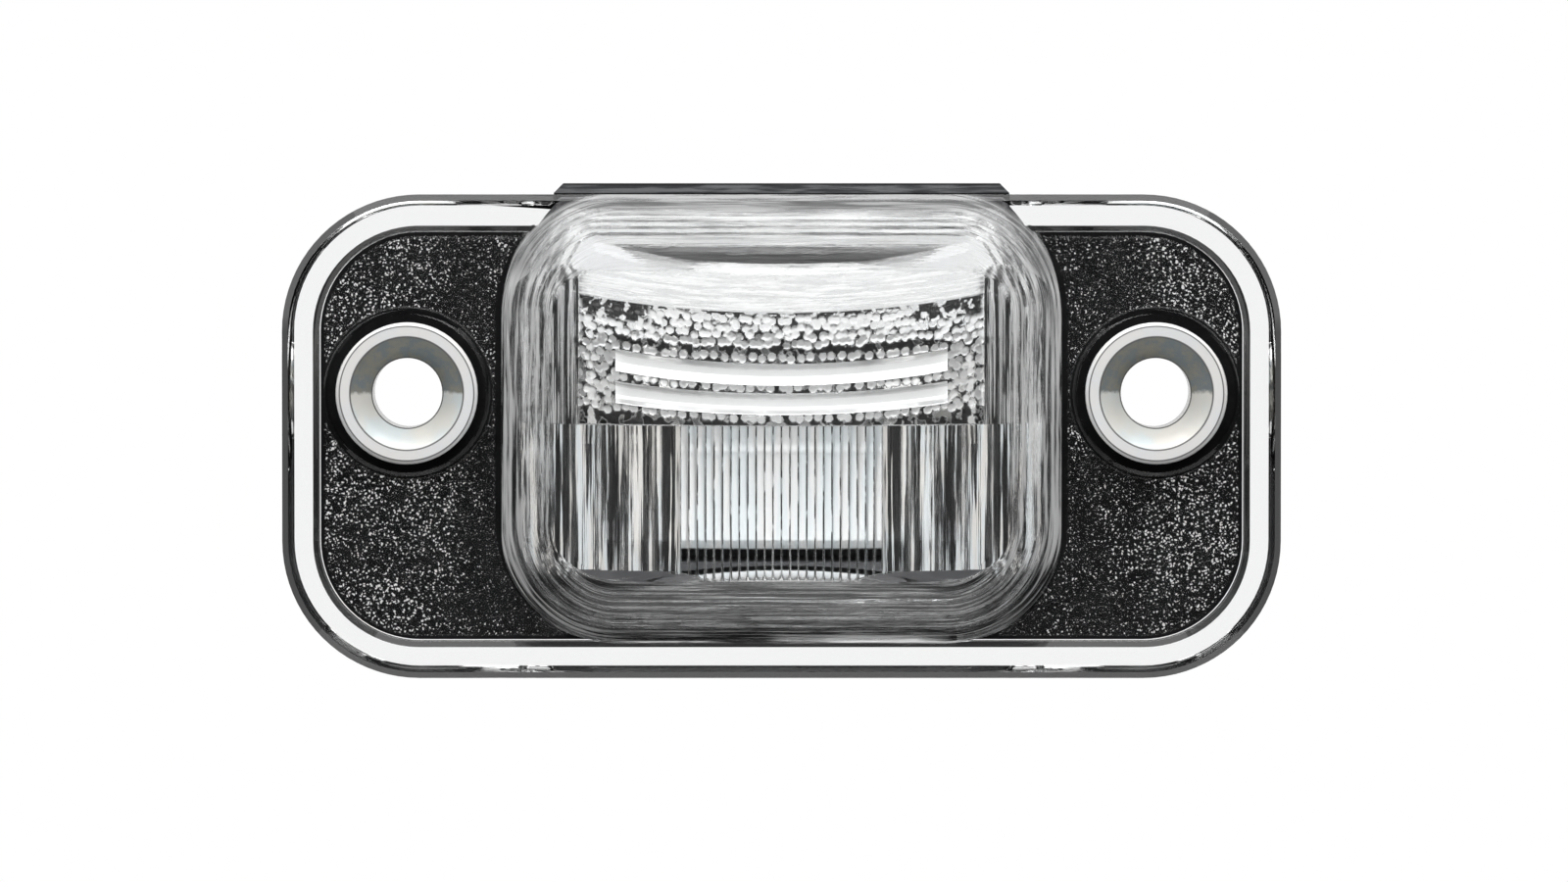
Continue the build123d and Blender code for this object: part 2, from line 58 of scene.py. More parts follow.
nodes = frame["nodes"]

# Lengths are in millimetres, places on the object in its own frame, angles in degrees
MM = 0.001

# Camera
AIM = Vector((0.2, -6.0, -3.8)) * MM
CAMERA_DISTANCE = 750.0
CAMERA_ELEVATION = 2.0
PIXELS_PER_MM = 12.75
PHOTO_WIDTH = 1600.0
SENSOR_WIDTH = 36.0

# Studio
FLOOR_DROP = 700.0
FLOOR_SIZE = 1600.0
FRONT_SHADE = 0.03
SIDE_SHADE = 0.08
BACK_WHITE = 1.0
BACKDROP_EDGE = 0.90
BACKDROP_FULL = 0.95
CEILING_WHITE = 0.9
CEILING_REACH = 0.45

# Lens, as built
FLANGE_WIDTH = 80.0
FLANGE_HEIGHT = 38.75
FLANGE_CORNER = 11.0
FLANGE_BACK = 2.5
FLANGE_MIDDLE = -3.45
FLANGE_TOP = FLANGE_MIDDLE + FLANGE_HEIGHT / 2
FLANGE_FRONT = 5.0
FLOOR_WIDTH = 74.0
FLOOR_HEIGHT = 32.75
FLOOR_CORNER = 8.0
SCREW_X = 30.0
COLLAR_RADIUS = 6.7
DOME_WIDTH = 45.0
DOME_HEIGHT = 35.8
DOME_MIDDLE = -1.975
DOME_CORNER = 9.5
INNER_RADIUS = 30.0
INNER_AXIS = 15.5
FIELD_HALF_WIDTH = 15.7
FINE_HALF_WIDTH = 7.8
FINE_FLUTE_WIDTH = 0.65
FLUTE_TOP = -2.3
BARS_HALF_LENGTH = 13.0
CEILING_HEIGHT = 9.96
ROOM_LOW = -13.91
TONGUE_RISE = 0.85

# Chamfer on the back edge of the flange
BACK_CHAMFER = 0.9

# Heights between which the dome's walls turn into its top and its lower slope
TOP_START = 8.0
TOP_FULL = 11.0
LOW_START = -12.0
LOW_FULL = -15.0

# Widths of the dome's walls and of the pale ring of painted light at their foot, seen from the front
WALL_WIDTH = 4.3
TOP_WALL_WIDTH = 6.2
FOOT_WIDTH = 1.0
TOP_FOOT_WIDTH = 2.4

# Where the crescent of painted shade under the dome's top lies, and how wide the columns of painted shade
# beside the fine flutes are
CRESCENT_TOP = 11.9
CRESCENT_INNER = 14.0
CRESCENT_OUTER = 17.0
COLUMN_WIDTH = 1.5

# Distances from the axis of the inner front at which its parts lie
FRONT_RADII = (28.6, 30.6)
BAR_RADII = (28.6, 29.6)
PILLOW_RADII = (29.4, 29.96)
VALLEY_RADII = (29.95, 30.06)
CORNER_RADII = (29.4, 30.06)
BAND_RADII = (29.85, 30.15)

# How far the rows bow up, and where the corners of painted shade, the band and the painted light on the
# fine flutes begin
ROW_BOW = 0.0057
CORNER_START = 10.0
CORNER_LOW = 4.9
BAND_LOW = 6.6
FINE_PAINTED_LIGHT_LOW = -12.1

# How much of the clear plastic is made white as painted light or dark as painted shade, part by part
SPECK_PAINTED_GLINT = 0.9
FOOT_PAINTED_LIGHT = 0.7
WISP_PAINTED_LIGHT = 0.6
TOP_WISP_PAINTED_LIGHT = 0.3
LOW_WISP_SHARE = 0.3
COARSE_PAINTED_LIGHT = 0.8
BESIDE_PAINTED_LIGHT = 0.35
FINE_PAINTED_LIGHT = 0.4
PILLOW_PAINTED_LIGHT = 0.4
BAR_PAINTED_REFLECTION = 0.95
BAND_PAINTED_LIGHT = (0.1, 0.7)
CEILING_PAINTED_SHADE = 0.9
VALLEY_PAINTED_SHADE = 0.8
WALL_PAINTED_SHADE = 0.5
TOP_WALL_PAINTED_SHADE = 0.1
LOW_LINE_PAINTED_SHADE = 0.4
TOP_LINE_PAINTED_SHADE = 0.25
COARSE_PAINTED_SHADE = 0.8
BESIDE_PAINTED_SHADE = 0.75
FLUTE_PAINTED_SHADE = (0.15, 0.65)
RIM_PAINTED_SHADE = 0.8

# Noise values between which each kind of streak or spot comes in
WISPS = (0.44, 0.62)
WALL_LINES = (0.42, 0.36)
LOW_LINES = (0.56, 0.46)
TOP_LINES = (0.42, 0.37)
FOOT_PATCHES = (0.35, 0.6)
COARSE_LIGHTS = (0.495, 0.545)
COARSE_DARKS = (0.475, 0.435)
COLUMN_DARKS = (0.6, 0.52)
BESIDE_LIGHTS = (0.5, 0.6)
BESIDE_DARKS = (0.52, 0.44)
FLUTE_BREAKS = (0.38, 0.6)
VALLEY_BLOTCHES = (0.42, 0.5)
CORNER_BLOTCHES = (0.4, 0.46)
BAND_LIGHTS = (0.4, 0.6)
TINTS = (0.42, 0.58)

# Grain of the flange floor, and the white specks painted in it as glints
SPECK_SCALE = 3.7
SPECK_WARP = 0.4
SPECK_REACH = (0.15, 0.34)
SPECK_CROWDING = (0.35, 0.8)
GRAIN_SCALE = 3.4

# Heights of the relief
GRAIN_RELIEF = 0.16
STREAK_RELIEF = 0.12
TOP_STREAK_RELIEF = 0.05
FINE_RELIEF = 0.05
COARSE_RELIEF = 0.35
BAND_RELIEF = 0.06

# Gloss and colours of the clear plastic, with the colour of its painted shade
LENS_IOR = 1.56
POLISHED = 0.015
GRAINED = 0.14
BAR_ROUGHNESS = 0.35
CLEAR = (0.98, 0.985, 0.985, 1)
WARM = (1.0, 0.90, 0.78, 1)
COOL = (0.80, 0.94, 1.0, 1)
PALE_BLUE = (0.80, 0.94, 0.98, 1)
# Colour of the painted shade
PAINTED_SHADE_COLOR = (0.03, 0.03, 0.03, 1)
COARSE_TINT = 0.3
FINE_TINT = 0.5

# Rings of the screw bushes: thin dark rings of painted shade at their edges, and the flat face
BORE_RADIUS = 2.8
BORE_LINE = (2.8, 2.92)
SINK_LINE = (4.44, 4.64)
EDGE_LINE = (5.3, 5.46)
FLAT_RADIUS = 4.5

# Where painted shade darkens the two ends of the bright sheet
WING_START = 8.4
WING_FULL = 9.2
WING_TOP = 4.5
END_START = 15.0
END_FULL = 16.2

# Pillows pressed into the plain field of the lens, in rows that bow up towards the sides
PILLOW_PITCH = 0.62
PILLOW_SAMPLES = 6
PILLOW_RISE = 0.2
PILLOW_EDGE = 5
PILLOW_REACH = 0.55
PILLOW_LEAST = 0.3
PILLOW_JITTER = 0.3
PILLOW_SEED = 7
PILLOWS_START = 3.65
PILLOWS_END = 6.6
BARS_END = 12.9
BARS_LOW = -2.0
STUD_ROWS = (-1.75, 0.685, 3.07)
STUD_PITCH = 0.75
STUD_LIFT = 0.12
STUD_LEAST = 0.5
ROW_TILT = 19.0
FIELD_LOW = -2.25
ON_SURFACE = 0.03
CUT_DISTANCE = 1e-8
SHARP_ANGLE = 32.0


def add(tree, kind, inputs=None, **settings):
    """A shader node with its settings made and its inputs set, or linked where a socket is given."""
    node = tree.nodes.new("ShaderNode" + kind)
    for name, value in settings.items():
        setattr(node, name, value)
    for name, value in (inputs or {}).items():
        if isinstance(value, bpy.types.NodeSocket):
            tree.links.new(value, node.inputs[name])
        else:
            node.inputs[name].default_value = value
    return node


def math(tree, operation, *values):
    """The output of a math node."""
    return add(tree, "Math", dict(enumerate(values)), operation=operation).outputs[0]


def product(tree, first, *others):
    """The product of several values."""
    for other in others:
        first = math(tree, "MULTIPLY", first, other)
    return first


def total(tree, first, *others):
    """The sum of several values."""
    for other in others:
        first = math(tree, "ADD", first, other)
    return first


def largest(tree, first, *others):
    """The largest of several values."""
    for other in others:
        first = math(tree, "MAXIMUM", first, other)
    return first


def length(tree, across, up):
    """Length of a vector given by two components."""
    return math(tree, "SQRT", total(tree, product(tree, across, across), product(tree, up, up)))


def ramp(tree, value, start, end, low=0.0, high=1.0):
    """A value that goes smoothly from low to high while the given value goes from start to end."""
    inputs = {"Value": value, "From Min": start, "From Max": end, "To Min": low, "To Max": high}
    return add(tree, "MapRange", inputs, interpolation_type="SMOOTHSTEP").outputs[0]


def between(tree, value, low, high, soft):
    """One where a value lies between two limits, with soft ends."""
    return product(tree, ramp(tree, value, low, low + soft), ramp(tree, value, high, high - soft))


def eased(tree, share, low, high):
    """A value that goes from low to high as a share goes from none to all."""
    return ramp(tree, share, 0.0, 1.0, low, high)


def blend(tree, share, first, second):
    """A mix of two colours."""
    return add(tree, "Mix", {0: share, 6: first, 7: second}, data_type="RGBA").outputs[2]


def vector(tree, first, second=0.0, third=0.0):
    """A vector from its components."""
    return add(tree, "CombineXYZ", {0: first, 1: second, 2: third}).outputs[0]


def stretched(tree, place, along):
    """A vector in millimetres that is squeezed along each axis by the given share."""
    return add(tree, "VectorMath", {0: place, 1: along}, operation="MULTIPLY").outputs[0]


def noise(tree, place, scale, detail=2.0, roughness=0.5):
    """A noise value at a vector in millimetres, with scale in cycles per millimetre."""
    inputs = {"Vector": place, "Scale": scale, "Detail": detail, "Roughness": roughness}
    return add(tree, "TexNoise", inputs).outputs[0]


def bumped(tree, height):
    """A normal bent by a height in millimetres."""
    inputs = {"Strength": 1.0, "Distance": 1.0, "Height": product(tree, height, MM)}
    return add(tree, "Bump", inputs).outputs[0]


def millimetres(tree):
    """The place on the object as x, y and z sockets in millimetres, and as a vector."""
    place = add(tree, "TexCoord").outputs["Object"]
    scaled = add(tree, "VectorMath", {0: place, "Scale": 1 / MM}, operation="SCALE").outputs[0]
    split = add(tree, "SeparateXYZ", {0: scaled})
    return split.outputs[0], split.outputs[1], split.outputs[2], scaled


def rounded_distance(tree, across, up, middle, width, height, corner):
    """Distance outside a rounded rectangle that is centred on x = 0, negative inside it."""
    over_x = math(tree, "SUBTRACT", math(tree, "ABSOLUTE", across), width / 2 - corner)
    over_z = math(tree, "ABSOLUTE", math(tree, "SUBTRACT", up, middle))
    over_z = math(tree, "SUBTRACT", over_z, height / 2 - corner)
    square_x = math(tree, "POWER", math(tree, "MAXIMUM", over_x, 0.0), 2.0)
    square_z = math(tree, "POWER", math(tree, "MAXIMUM", over_z, 0.0), 2.0)
    outside = math(tree, "SQRT", total(tree, square_x, square_z))
    inside = math(tree, "MINIMUM", math(tree, "MAXIMUM", over_x, over_z), 0.0)
    return math(tree, "SUBTRACT", total(tree, outside, inside), corner)


def screw_distance(tree, x, z):
    """Distance from the nearer screw axis."""
    return length(tree, math(tree, "SUBTRACT", math(tree, "ABSOLUTE", x), SCREW_X), z)


def new_material(name):
    """An empty node material, its tree and its output node."""
    material = bpy.data.materials.new(name)
    material.use_nodes = True
    material.node_tree.nodes.clear()
    return material, material.node_tree, add(material.node_tree, "OutputMaterial")


def opaque(tree, output, inputs):
    """Join an opaque shader to the output."""
    shader = add(tree, "BsdfPrincipled", inputs)
    tree.links.new(shader.outputs[0], output.inputs["Surface"])


def see_through(tree, output, inputs):
    """Join a clear shader to the output so that the lamps also light what is behind it."""
    shader = add(tree, "BsdfPrincipled", inputs)
    path = add(tree, "LightPath")
    through = add(tree, "BsdfTransparent")
    shares = {0: path.outputs["Is Shadow Ray"], 1: shader.outputs[0], 2: through.outputs[0]}
    mix = add(tree, "MixShader", shares)
    tree.links.new(mix.outputs[0], output.inputs["Surface"])


def lens_places(tree):
    """Where a point of the lens lies, against its outlines, its inner front and its ceiling."""
    x, y, z, place = millimetres(tree)
    at = SimpleNamespace(x=x, z=z, place=place)
    at.sideways = math(tree, "ABSOLUTE", x)
    at.depth = product(tree, y, -1.0)
    at.floor_edge = rounded_distance(tree, x, z, FLANGE_MIDDLE, FLOOR_WIDTH, FLOOR_HEIGHT, FLOOR_CORNER)
    at.dome_edge = rounded_distance(tree, x, z, DOME_MIDDLE, DOME_WIDTH, DOME_HEIGHT, DOME_CORNER)
    at.radius = length(tree, x, math(tree, "SUBTRACT", y, INNER_AXIS))
    at.bowed = math(tree, "SUBTRACT", z, product(tree, x, x, ROW_BOW))
    at.within = ramp(tree, at.dome_edge, -1.5, -2.0)
    at.inside = product(tree, at.within, between(tree, z, ROOM_LOW, CEILING_HEIGHT, 0.04))
    at.below = ramp(tree, z, FLUTE_TOP + 0.1, FLUTE_TOP - 0.1)
    return at


def floor_grain(tree, at):
    """Where the flange floor is grained, and the white specks painted in the grain as glints."""
    from_floor = math(tree, "ABSOLUTE", math(tree, "SUBTRACT", at.depth, FLANGE_FRONT))
    from_screw = screw_distance(tree, at.x, at.z)
    grain = product(
        tree,
        ramp(tree, at.floor_edge, -0.3, -0.55),
        ramp(tree, at.dome_edge, 0.3, 0.6),
        ramp(tree, from_screw, COLLAR_RADIUS + 0.1, COLLAR_RADIUS + 0.35),
        ramp(tree, from_floor, 0.2, 0.1),
    )
    warp = add(tree, "TexNoise", {"Vector": at.place, "Scale": 3.0, "Detail": 1.0}).outputs["Color"]
    shift = {0: warp, 1: (SPECK_WARP, SPECK_WARP, SPECK_WARP), 2: at.place}
    warped = add(tree, "VectorMath", shift, operation="MULTIPLY_ADD").outputs[0]
    spots = add(tree, "TexVoronoi", {"Vector": warped, "Scale": SPECK_SCALE}, feature="F1")
    crowding = total(tree, noise(tree, at.place, 0.2, 3.0), ramp(tree, at.sideways, 23.0, 32.0, 0.0, 0.25))
    reach = ramp(tree, crowding, *SPECK_CROWDING, *SPECK_REACH)
    # The white specks are painted glints: spots of the plastic made white where light would catch the
    # grain
    inside_spot = math(tree, "SUBTRACT", reach, spots.outputs["Distance"])
    return grain, product(tree, ramp(tree, inside_spot, 0.0, 0.05), grain, SPECK_PAINTED_GLINT)


def wall_streaks(tree, at):
    """Streaks round the dome's walls: white ones of painted light, dark ones of painted shade, and their
    relief.
    """
    toward_top = ramp(tree, at.z, TOP_START, TOP_FULL)
    toward_low = ramp(tree, at.z, LOW_START, LOW_FULL)
    width = total(tree, eased(tree, toward_top, WALL_WIDTH, TOP_WALL_WIDTH), toward_low)
    on_wall = product(
        tree,
        ramp(tree, at.depth, FLANGE_FRONT + 0.02, FLANGE_FRONT + 0.15),
        between(tree, math(tree, "DIVIDE", at.dome_edge, width), -1.0, 0.07, 0.07),
    )
    inward = product(tree, at.dome_edge, 3.2)
    along = vector(tree, inward, product(tree, at.x, 0.1), product(tree, at.z, 0.13))
    streaks = noise(tree, along, 1.0, 3.0, 0.6)
    height = ramp(tree, at.z, TOP_START, TOP_FULL, STREAK_RELIEF, TOP_STREAK_RELIEF)
    relief = product(tree, streaks, on_wall, height)

    crescent = product(
        tree,
        between(tree, at.z, CEILING_HEIGHT - 0.3, CRESCENT_TOP, 0.3),
        ramp(tree, at.sideways, CRESCENT_OUTER, CRESCENT_INNER),
    )
    off_crescent = eased(tree, crescent, 1.0, 0.15)
    # White wisps and the pale foot: painted light in the clear plastic
    wisps = product(
        tree,
        on_wall,
        ramp(tree, streaks, *WISPS),
        eased(tree, toward_top, WISP_PAINTED_LIGHT, TOP_WISP_PAINTED_LIGHT),
        eased(tree, toward_low, 1.0, LOW_WISP_SHARE),
        off_crescent,
    )
    foot_width = eased(tree, toward_top, FOOT_WIDTH, TOP_FOOT_WIDTH)
    foot = product(
        tree,
        on_wall,
        between(tree, math(tree, "DIVIDE", at.dome_edge, foot_width), -1.0, 0.15, 0.15),
        ramp(tree, streaks, *FOOT_PATCHES, 0.2, 1.0),
        eased(tree, toward_top, FOOT_PAINTED_LIGHT, 0.5 * FOOT_PAINTED_LIGHT),
    )

    # Dark streaks: painted shade in the clear plastic
    painted_shade_lines = product(
        tree,
        on_wall,
        ramp(tree, streaks, *WALL_LINES),
        eased(tree, toward_top, WALL_PAINTED_SHADE, TOP_WALL_PAINTED_SHADE),
    )
    inward = product(tree, at.dome_edge, 6.5)
    along = vector(tree, inward, product(tree, at.x, 0.08), product(tree, at.z, 0.1))
    thin = noise(tree, along, 1.0, 2.0, 0.5)
    low_share = product(tree, on_wall, toward_low, LOW_LINE_PAINTED_SHADE)
    top_share = product(tree, on_wall, toward_top, TOP_LINE_PAINTED_SHADE, off_crescent)
    low_lines = product(tree, low_share, ramp(tree, thin, *LOW_LINES))
    top_lines = product(tree, top_share, ramp(tree, thin, *TOP_LINES))
    return largest(tree, wisps, foot), largest(tree, painted_shade_lines, low_lines, top_lines), relief


def flute_streaks(tree, at):
    """Upright streaks on the flutes: painted light, painted shade, relief, and where coarse and fine
    flutes lie.
    """
    on_front = product(tree, between(tree, at.radius, *FRONT_RADII, 0.3), at.inside)
    beside = ramp(tree, at.sideways, FIELD_HALF_WIDTH - 0.05, FIELD_HALF_WIDTH + 0.05)
    outer = ramp(tree, at.sideways, FINE_HALF_WIDTH - 0.1, FINE_HALF_WIDTH + 0.1)
    upright = product(tree, on_front, largest(tree, beside, at.below))
    coarse = product(tree, upright, outer, at.below)
    fine = product(tree, upright, at.below, math(tree, "SUBTRACT", 1.0, outer))
    along = vector(tree, product(tree, at.sideways, 2.8), product(tree, at.z, 0.05))
    streaks = noise(tree, along, 1.0, 3.0, 0.6)
    relief = product(tree, streaks, upright, eased(tree, outer, FINE_RELIEF, COARSE_RELIEF))

    # Dark columns beside the fine flutes: painted shade
    column = product(
        tree,
        between(tree, at.sideways, FINE_HALF_WIDTH, FINE_HALF_WIDTH + COLUMN_WIDTH, 0.3),
        ramp(tree, streaks, *COLUMN_DARKS),
    )
    off_column = eased(tree, column, 1.0, 0.2)
    # White streaks on the flutes are painted light, dark streaks painted shade
    coarse_painted_light = product(tree, coarse, ramp(tree, streaks, *COARSE_LIGHTS), COARSE_PAINTED_LIGHT, off_column)
    coarse_darks = largest(tree, column, ramp(tree, streaks, *COARSE_DARKS))
    coarse_painted_shade = product(tree, coarse, coarse_darks, COARSE_PAINTED_SHADE)
    beside_painted_light = product(tree, upright, beside, ramp(tree, streaks, *BESIDE_LIGHTS), BESIDE_PAINTED_LIGHT)
    beside_painted_shade = product(tree, upright, beside, ramp(tree, streaks, *BESIDE_DARKS), BESIDE_PAINTED_SHADE)
    fine_painted_light = product(tree, fine, ramp(tree, at.z, FINE_PAINTED_LIGHT_LOW, FINE_PAINTED_LIGHT_LOW + 0.2), FINE_PAINTED_LIGHT)
    from_valley = math(tree, "PINGPONG", total(tree, at.x, FINE_HALF_WIDTH), 0.5 * FINE_FLUTE_WIDTH)
    breaks = noise(tree, stretched(tree, at.place, (1.6, 0.0, 0.35)), 1.0, 3.0, 0.6)
    fine_painted_shade = product(
        tree,
        fine,
        ramp(tree, from_valley, 0.08, 0.03),
        ramp(tree, breaks, *FLUTE_BREAKS, *FLUTE_PAINTED_SHADE),
    )
    painted_light = largest(tree, coarse_painted_light, beside_painted_light, fine_painted_light)
    return painted_light, largest(tree, coarse_painted_shade, beside_painted_shade, fine_painted_shade), relief, coarse, fine


def field_parts(tree, at):
    """Parts of the field over the flutes: its bars, the painted light on its pillows, and the painted
    shade in its valleys and corners.
    """
    above = math(tree, "SUBTRACT", 1.0, at.below)
    field = product(tree, above, at.inside, ramp(tree, at.bowed, PILLOWS_END + 0.1, PILLOWS_END))
    bars = product(
        tree,
        between(tree, at.radius, *BAR_RADII, 0.2),
        ramp(tree, at.sideways, BARS_HALF_LENGTH + 0.1, BARS_HALF_LENGTH),
        field,
    )
    pillows_low, pillows_high = PILLOW_RADII
    pillows = product(
        tree,
        ramp(tree, at.radius, pillows_high, pillows_high - 0.06),
        ramp(tree, at.radius, pillows_low, pillows_low + 0.1),
        field,
    )
    blotches = noise(tree, at.place, 1.1, 2.0)
    # Dark valleys between the pillows and dark corners of the field: painted shade
    valleys = product(
        tree,
        between(tree, at.radius, *VALLEY_RADII, 0.02),
        ramp(tree, blotches, *VALLEY_BLOTCHES),
        ramp(tree, at.sideways, FIELD_HALF_WIDTH, FIELD_HALF_WIDTH - 0.1),
        field,
    )
    corners = product(
        tree,
        between(tree, at.radius, *CORNER_RADII, 0.02),
        ramp(tree, blotches, *CORNER_BLOTCHES),
        between(tree, at.sideways, CORNER_START, FIELD_HALF_WIDTH, 0.4),
        ramp(tree, at.bowed, CORNER_LOW, CORNER_LOW + 0.4),
        field,
    )
    # The pillows are partly whitened as painted light
    return bars, product(tree, pillows, PILLOW_PAINTED_LIGHT), largest(tree, valleys, corners)


def top_band(tree, at):
    """The streaked band over the field: its painted light and its relief."""
    band = product(
        tree,
        between(tree, at.radius, *BAND_RADII, 0.1),
        ramp(tree, at.bowed, BAND_LOW, BAND_LOW + 0.2),
        at.inside,
    )
    along = vector(tree, product(tree, at.x, 0.2), product(tree, at.bowed, 3.0))
    streaks = noise(tree, along, 1.0, 3.0, 0.6)
    # White streaks in the band: painted light
    painted_light = product(tree, band, ramp(tree, streaks, *BAND_LIGHTS, *BAND_PAINTED_LIGHT))
    return painted_light, product(tree, band, streaks, BAND_RELIEF)


def painted_ceiling_shade(tree, at):
    """Where the level ceiling of the room behind the front lies, which is painted dark as the crescent of
    shade under the dome's top.
    """
    from_ceiling = math(tree, "ABSOLUTE", math(tree, "SUBTRACT", at.z, CEILING_HEIGHT))
    normal = add(tree, "NewGeometry").outputs["True Normal"]
    facing = math(tree, "ABSOLUTE", add(tree, "SeparateXYZ", {0: normal}).outputs[2])
    return product(tree, ramp(tree, from_ceiling, 0.06, 0.04), ramp(tree, facing, 0.8, 0.9), at.within)


def clear_plastic():
    """Clear moulded plastic: grained on the flange floor, streaked on the dome, part made white inside as
    painted light and dark as painted shade.
    """
    material, tree, output = new_material("clear_plastic")
    at = lens_places(tree)
    grain, specks = floor_grain(tree, at)
    wall_painted_light, wall_painted_shade, wall_relief = wall_streaks(tree, at)
    flute_painted_light, flute_painted_shade, flute_relief, coarse, fine = flute_streaks(tree, at)
    bars, pillow_painted_light, valleys = field_parts(tree, at)
    band_painted_light, band_relief = top_band(tree, at)
    # Painted shade: the level ceiling is darkened to give the crescent under the dome's top
    ceiling = painted_ceiling_shade(tree, at)
    # Dark line along the rim's inner chamfer: painted shade
    rim_edge = between(tree, at.floor_edge, 0.05, 0.5, 0.05)
    rim_painted_shade = product(tree, rim_edge, ramp(tree, at.dome_edge, 0.1, 0.2), RIM_PAINTED_SHADE)

    streak_painted_shade = largest(tree, flute_painted_shade, wall_painted_shade, rim_painted_shade)
    painted_shade = largest(
        tree,
        product(tree, ceiling, CEILING_PAINTED_SHADE),
        product(tree, valleys, VALLEY_PAINTED_SHADE),
        streak_painted_shade,
    )
    # The bars are made white as a painted reflection
    bar_painted_reflection = product(tree, bars, BAR_PAINTED_REFLECTION)
    # Where the plastic loses its clearness for painted glints, light, reflection and shade
    painted_light_and_shade = largest(tree, specks, wall_painted_light, flute_painted_light, pillow_painted_light, band_painted_light, bar_painted_reflection, painted_shade)

    tint = ramp(tree, noise(tree, stretched(tree, at.place, (1.2, 0.1, 0.12)), 1.0), *TINTS)
    color = blend(tree, product(tree, coarse, COARSE_TINT), CLEAR, blend(tree, tint, WARM, COOL))
    color = blend(tree, product(tree, fine, tint, FINE_TINT), color, PALE_BLUE)
    # Where the colour turns dark as painted shade: the ceiling crescent, the valleys and the dark streaks
    dark = largest(tree, ceiling, valleys, ramp(tree, streak_painted_shade, 0.1, 0.4))
    gloss = eased(tree, grain, POLISHED, GRAINED)
    grain_relief = product(tree, noise(tree, at.place, GRAIN_SCALE, 2.0), grain, GRAIN_RELIEF)
    relief = total(tree, grain_relief, wall_relief, total(tree, flute_relief, band_relief))
    inputs = {
        "Base Color": blend(tree, dark, color, PAINTED_SHADE_COLOR),
        "Roughness": largest(tree, gloss, product(tree, bars, BAR_ROUGHNESS)),
        "IOR": LENS_IOR,
        "Transmission Weight": math(tree, "SUBTRACT", 1.0, painted_light_and_shade),
        "Normal": bumped(tree, relief),
    }
    see_through(tree, output, inputs)
    return material


def zinc_steel():
    """Zinc plate: matt and pale on the flat rings; in the countersinks a mottled stain darkened by painted
    shade above and bright below, with painted shade in the bore and thin dark rings of painted shade at
    the edges.
    """
    material, tree, output = new_material("zinc_steel")
    x, _, z, place = millimetres(tree)
    ring = screw_distance(tree, x, z)
    flat = ramp(tree, ring, FLAT_RADIUS, FLAT_RADIUS + 0.06)
    # Dark rings at the edges of the countersink, the flat face and the bore: painted shade
    painted_shade_lines = largest(
        tree,
        between(tree, ring, *SINK_LINE, 0.08),
        between(tree, ring, *EDGE_LINE, 0.06),
        between(tree, ring, *BORE_LINE, 0.04),
    )
    tint = ramp(tree, noise(tree, place, 0.25, 3.0), 0.38, 0.62)
    bright = blend(tree, tint, (0.86, 0.93, 0.94, 1), (0.95, 0.93, 0.87, 1))
    pale = blend(tree, tint, (0.95, 0.96, 0.97, 1), (0.98, 0.97, 0.95, 1))
    mottle = noise(tree, place, 0.9, 4.0, 0.7)
    patches = ramp(tree, mottle, 0.4, 0.6)
    stain_and_painted_shade = blend(tree, patches, (0.25, 0.285, 0.30, 1), (0.33, 0.325, 0.285, 1))
    # Painted shade: the upper half of each countersink is darkened, in mottled patches, and the lower half
    # stays bright
    upper = ramp(tree, total(tree, z, mottle), 0.35, 0.75)
    sink = blend(tree, upper, bright, stain_and_painted_shade)
    # Painted shade inside the bore
    bore = ramp(tree, ring, BORE_RADIUS + 0.04, BORE_RADIUS)
    sink = blend(tree, bore, sink, (0.30, 0.31, 0.29, 1))
    color = blend(tree, flat, sink, pale)
    turns = noise(tree, vector(tree, product(tree, ring, 7.0)), 1.0, 3.0)
    specks = noise(tree, place, 2.5, 4.0, 0.7)
    fine = total(tree, product(tree, turns, 0.5), product(tree, specks, 0.5))
    gloss = ramp(tree, fine, 0.35, 0.65, 0.14, 0.26)
    inputs = {
        "Base Color": blend(tree, painted_shade_lines, color, (0.16, 0.16, 0.16, 1)),
        "Metallic": eased(tree, flat, 0.3, 0.05),
        "Roughness": total(tree, gloss, product(tree, flat, 0.2)),
        "Normal": bumped(tree, product(tree, fine, 0.008)),
    }
    opaque(tree, output, inputs)
    return material


def bright_sheet():
    """Bright rolled sheet, darkened by painted shade at the two ends beside the bulb."""
    material, tree, output = new_material("bright_sheet")
    x, _, z, place = millimetres(tree)
    rolled = noise(tree, stretched(tree, place, (0.2, 5.0, 5.0)), 1.0, 4.0, 0.6)
    patches = ramp(tree, noise(tree, place, 0.2, 3.0), 0.35, 0.65)
    color = blend(tree, patches, (0.86, 0.87, 0.88, 1), (0.90, 0.90, 0.90, 1))
    sideways = math(tree, "ABSOLUTE", x)
    low = ramp(tree, z, WING_TOP, WING_TOP - 0.5)
    wings = product(tree, ramp(tree, sideways, WING_START, WING_FULL), low)
    # Painted shade: the lower wings and the two ends are darkened
    ends = largest(tree, wings, ramp(tree, sideways, END_START, END_FULL))
    inputs = {
        "Base Color": blend(tree, ends, color, (0.05, 0.05, 0.055, 1)),
        "Metallic": 0.15,
        "Roughness": ramp(tree, rolled, 0.3, 0.7, 0.25, 0.4),
        "Normal": bumped(tree, product(tree, rolled, 0.003)),
    }
    opaque(tree, output, inputs)
    return material


